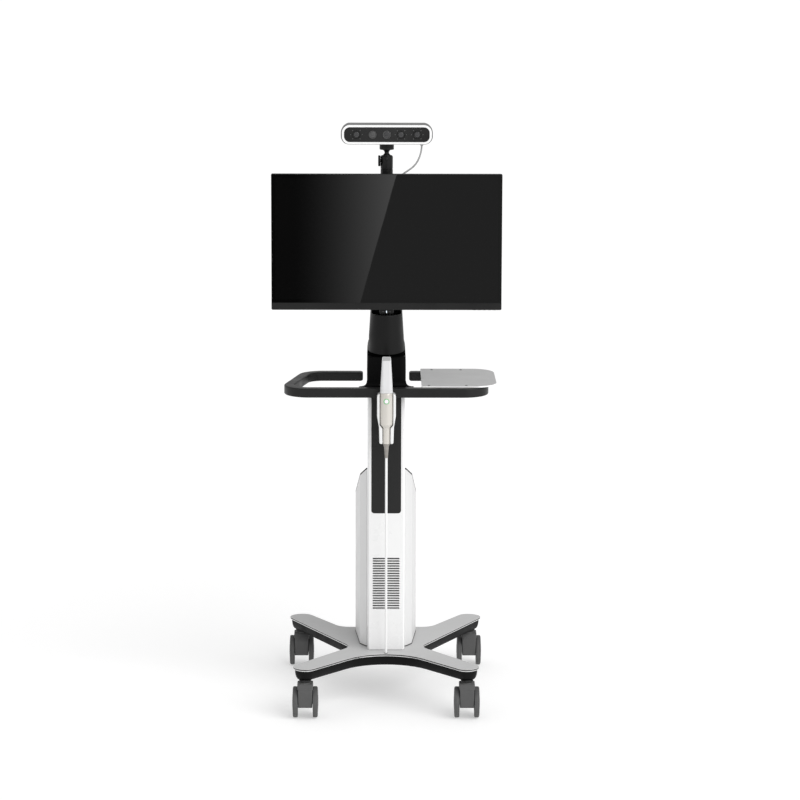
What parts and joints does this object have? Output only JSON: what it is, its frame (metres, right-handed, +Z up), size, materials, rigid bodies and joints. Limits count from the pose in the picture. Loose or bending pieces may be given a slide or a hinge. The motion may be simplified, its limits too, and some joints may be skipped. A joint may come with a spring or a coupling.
{
  "type": "mobile intraoral scanning cart",
  "caption": "Mobile dental scanning cart: castor base, tower, handrail with tray, tilting monitor, scanner bar on a ball head and an intraoral handpiece in its cradle.",
  "frame": {"origin": "on the floor, under the middle of the cart", "axes": "+Z up, the monitor and handpiece face -Y, the tray is on the +X side"},
  "size_m": [0.54, 0.551, 1.374],
  "materials": {
    "frame_black": "satin powder coat",
    "trim_aluminium": "bright brushed edge",
    "plate_grey": "fine powder coat",
    "column_silver": "white anodised",
    "panel_white": "white, low gloss",
    "inlay_black": "satin",
    "housing_white": "fine moulded grain",
    "inner_grey": "plain",
    "fitting_black": "moulded",
    "head_black": "black powder coat",
    "cover_black": "fine moulded grain",
    "steel": "brushed",
    "rail_black": "satin powder coat",
    "tray_metal": "bead blasted",
    "cradle_white": "gloss",
    "handpiece_champagne": "pearl lacquer",
    "tip_white": "satin",
    "button_white": "translucent",
    "boot_grey": "soft moulded",
    "lead_white": "smooth sheath",
    "monitor_black": "fine moulded grain",
    "screen_glass": "gloss",
    "ball_head_black": "black anodised",
    "shell_grey": "satin",
    "ring_white": "gloss",
    "window_glass": "gloss",
    "lens_glass": "coated",
    "castor_grey": "moulded",
    "tyre_grey": "soft tread"
  },
  "bodies": {
    "cart": {"base_frame": "frame_black", "base_trim": "trim_aluminium", "base_top_plate": "plate_grey", "lead_grommet": "lead_white", "column_tube": "column_silver", "front_panel": "panel_white", "column_inlay": "inlay_black", "side_housing_left": "housing_white", "side_housing_right": "housing_white", "rear_cover": "housing_white", "computer": "inner_grey", "power_supply": "inner_grey", "fan_frame": "fitting_black", "mains_inlet": "fitting_black", "column_head": "head_black", "neck_cover": "cover_black", "neck_post": "steel", "handrail": "rail_black", "tray": "tray_metal", "cradle": "cradle_white", "handpiece_lead": "lead_white"},
    "castor_front_left": {"castor_front_left_fork": "castor_grey", "castor_front_left_axle": "steel"},
    "castor_front_left_wheel_left": {"castor_front_left_wheel_left": "tyre_grey"},
    "castor_front_left_wheel_right": {"castor_front_left_wheel_right": "tyre_grey"},
    "castor_front_right": {"castor_front_right_fork": "castor_grey", "castor_front_right_axle": "steel"},
    "castor_front_right_wheel_left": {"castor_front_right_wheel_left": "tyre_grey"},
    "castor_front_right_wheel_right": {"castor_front_right_wheel_right": "tyre_grey"},
    "castor_rear_left": {"castor_rear_left_fork": "castor_grey", "castor_rear_left_axle": "steel"},
    "castor_rear_left_wheel_left": {"castor_rear_left_wheel_left": "tyre_grey"},
    "castor_rear_left_wheel_right": {"castor_rear_left_wheel_right": "tyre_grey"},
    "castor_rear_right": {"castor_rear_right_fork": "castor_grey", "castor_rear_right_axle": "steel"},
    "castor_rear_right_wheel_left": {"castor_rear_right_wheel_left": "tyre_grey"},
    "castor_rear_right_wheel_right": {"castor_rear_right_wheel_right": "tyre_grey"},
    "fan": {"fan_rotor": "fitting_black"},
    "switch": {"power_switch": "fitting_black"},
    "monitor": {"monitor_housing": "monitor_black", "lcd_panel": "inner_grey", "screen_glass": "screen_glass", "vesa_plate": "steel", "scanner_bracket": "ball_head_black"},
    "pan_head": {"ball_housing": "ball_head_black", "scanner_lead": "lead_white"},
    "knob": {"lock_knob": "ball_head_black"},
    "scanner": {"ball_stem": "ball_head_black", "scanner_shell": "shell_grey", "scanner_ring": "ring_white", "scanner_window": "window_glass", "lens_1": "lens_glass", "lens_2": "lens_glass", "lens_3": "lens_glass", "lens_4": "lens_glass", "lens_5": "lens_glass"},
    "handpiece": {"handpiece_body": "handpiece_champagne", "lead_boot": "boot_grey"},
    "tip": {"handpiece_tip": "tip_white"},
    "button": {"handpiece_button": "button_white"}
  },
  "joints": [
    {"name": "castor_front_left_swivel", "type": "hinge", "parent": "cart", "child": "castor_front_left", "pos_m": [-0.1895, -0.249, 0.09], "axis": [0, 0, 1], "continuous": true},
    {"name": "castor_front_left_wheel_left_roll", "type": "hinge", "parent": "castor_front_left", "child": "castor_front_left_wheel_left", "pos_m": [-0.1895, -0.239, 0.0365], "axis": [1, 0, 0], "continuous": true},
    {"name": "castor_front_left_wheel_right_roll", "type": "hinge", "parent": "castor_front_left", "child": "castor_front_left_wheel_right", "pos_m": [-0.1895, -0.239, 0.0365], "axis": [1, 0, 0], "continuous": true},
    {"name": "castor_front_right_swivel", "type": "hinge", "parent": "cart", "child": "castor_front_right", "pos_m": [0.1895, -0.249, 0.09], "axis": [0, 0, 1], "continuous": true},
    {"name": "castor_front_right_wheel_left_roll", "type": "hinge", "parent": "castor_front_right", "child": "castor_front_right_wheel_left", "pos_m": [0.1895, -0.239, 0.0365], "axis": [1, 0, 0], "continuous": true},
    {"name": "castor_front_right_wheel_right_roll", "type": "hinge", "parent": "castor_front_right", "child": "castor_front_right_wheel_right", "pos_m": [0.1895, -0.239, 0.0365], "axis": [1, 0, 0], "continuous": true},
    {"name": "castor_rear_left_swivel", "type": "hinge", "parent": "cart", "child": "castor_rear_left", "pos_m": [-0.2075, 0.229, 0.09], "axis": [0, 0, 1], "continuous": true},
    {"name": "castor_rear_left_wheel_left_roll", "type": "hinge", "parent": "castor_rear_left", "child": "castor_rear_left_wheel_left", "pos_m": [-0.2075, 0.239, 0.0365], "axis": [1, 0, 0], "continuous": true},
    {"name": "castor_rear_left_wheel_right_roll", "type": "hinge", "parent": "castor_rear_left", "child": "castor_rear_left_wheel_right", "pos_m": [-0.2075, 0.239, 0.0365], "axis": [1, 0, 0], "continuous": true},
    {"name": "castor_rear_right_swivel", "type": "hinge", "parent": "cart", "child": "castor_rear_right", "pos_m": [0.2075, 0.229, 0.09], "axis": [0, 0, 1], "continuous": true},
    {"name": "castor_rear_right_wheel_left_roll", "type": "hinge", "parent": "castor_rear_right", "child": "castor_rear_right_wheel_left", "pos_m": [0.2075, 0.239, 0.0365], "axis": [1, 0, 0], "continuous": true},
    {"name": "castor_rear_right_wheel_right_roll", "type": "hinge", "parent": "castor_rear_right", "child": "castor_rear_right_wheel_right", "pos_m": [0.2075, 0.239, 0.0365], "axis": [1, 0, 0], "continuous": true},
    {"name": "fan_spin", "type": "hinge", "parent": "cart", "child": "fan", "pos_m": [0, 0.1083, 0.24], "axis": [0, 1, 0], "continuous": true},
    {"name": "switch_rock", "type": "hinge", "parent": "cart", "child": "switch", "pos_m": [0.018, 0.118, 0.16], "axis": [1, 0, 0], "range_deg": [0, 16]},
    {"name": "monitor_tilt", "type": "hinge", "parent": "cart", "child": "monitor", "pos_m": [0, -0.012, 1.1], "axis": [-1, 0, 0], "range_deg": [0, 15]},
    {"name": "scanner_pan", "type": "hinge", "parent": "monitor", "child": "pan_head", "pos_m": [0, -0.022, 1.24], "axis": [0, 0, 1], "range_deg": [-45, 45]},
    {"name": "scanner_tilt", "type": "hinge", "parent": "pan_head", "child": "scanner", "pos_m": [0, -0.022, 1.296], "axis": [1, 0, 0], "range_deg": [-25, 25], "deforming": ["scanner_lead"]},
    {"name": "lock_knob_turn", "type": "hinge", "parent": "pan_head", "child": "knob", "pos_m": [-0.017, -0.022, 1.287], "axis": [1, 0, 0], "range_deg": [0, 180]},
    {"name": "handpiece_lift", "type": "slide", "parent": "cart", "child": "handpiece", "axis": [0, 0, 1], "range_m": [0, 0.125], "deforming": ["handpiece_lead"]},
    {"name": "tip_pull", "type": "slide", "parent": "handpiece", "child": "tip", "axis": [0, 0, 1], "range_m": [0, 0.04]},
    {"name": "button_press", "type": "slide", "parent": "handpiece", "child": "button", "axis": [0, 1, 0], "range_m": [0, 0.0008], "stiffness_N_per_m": 500}
  ]
}
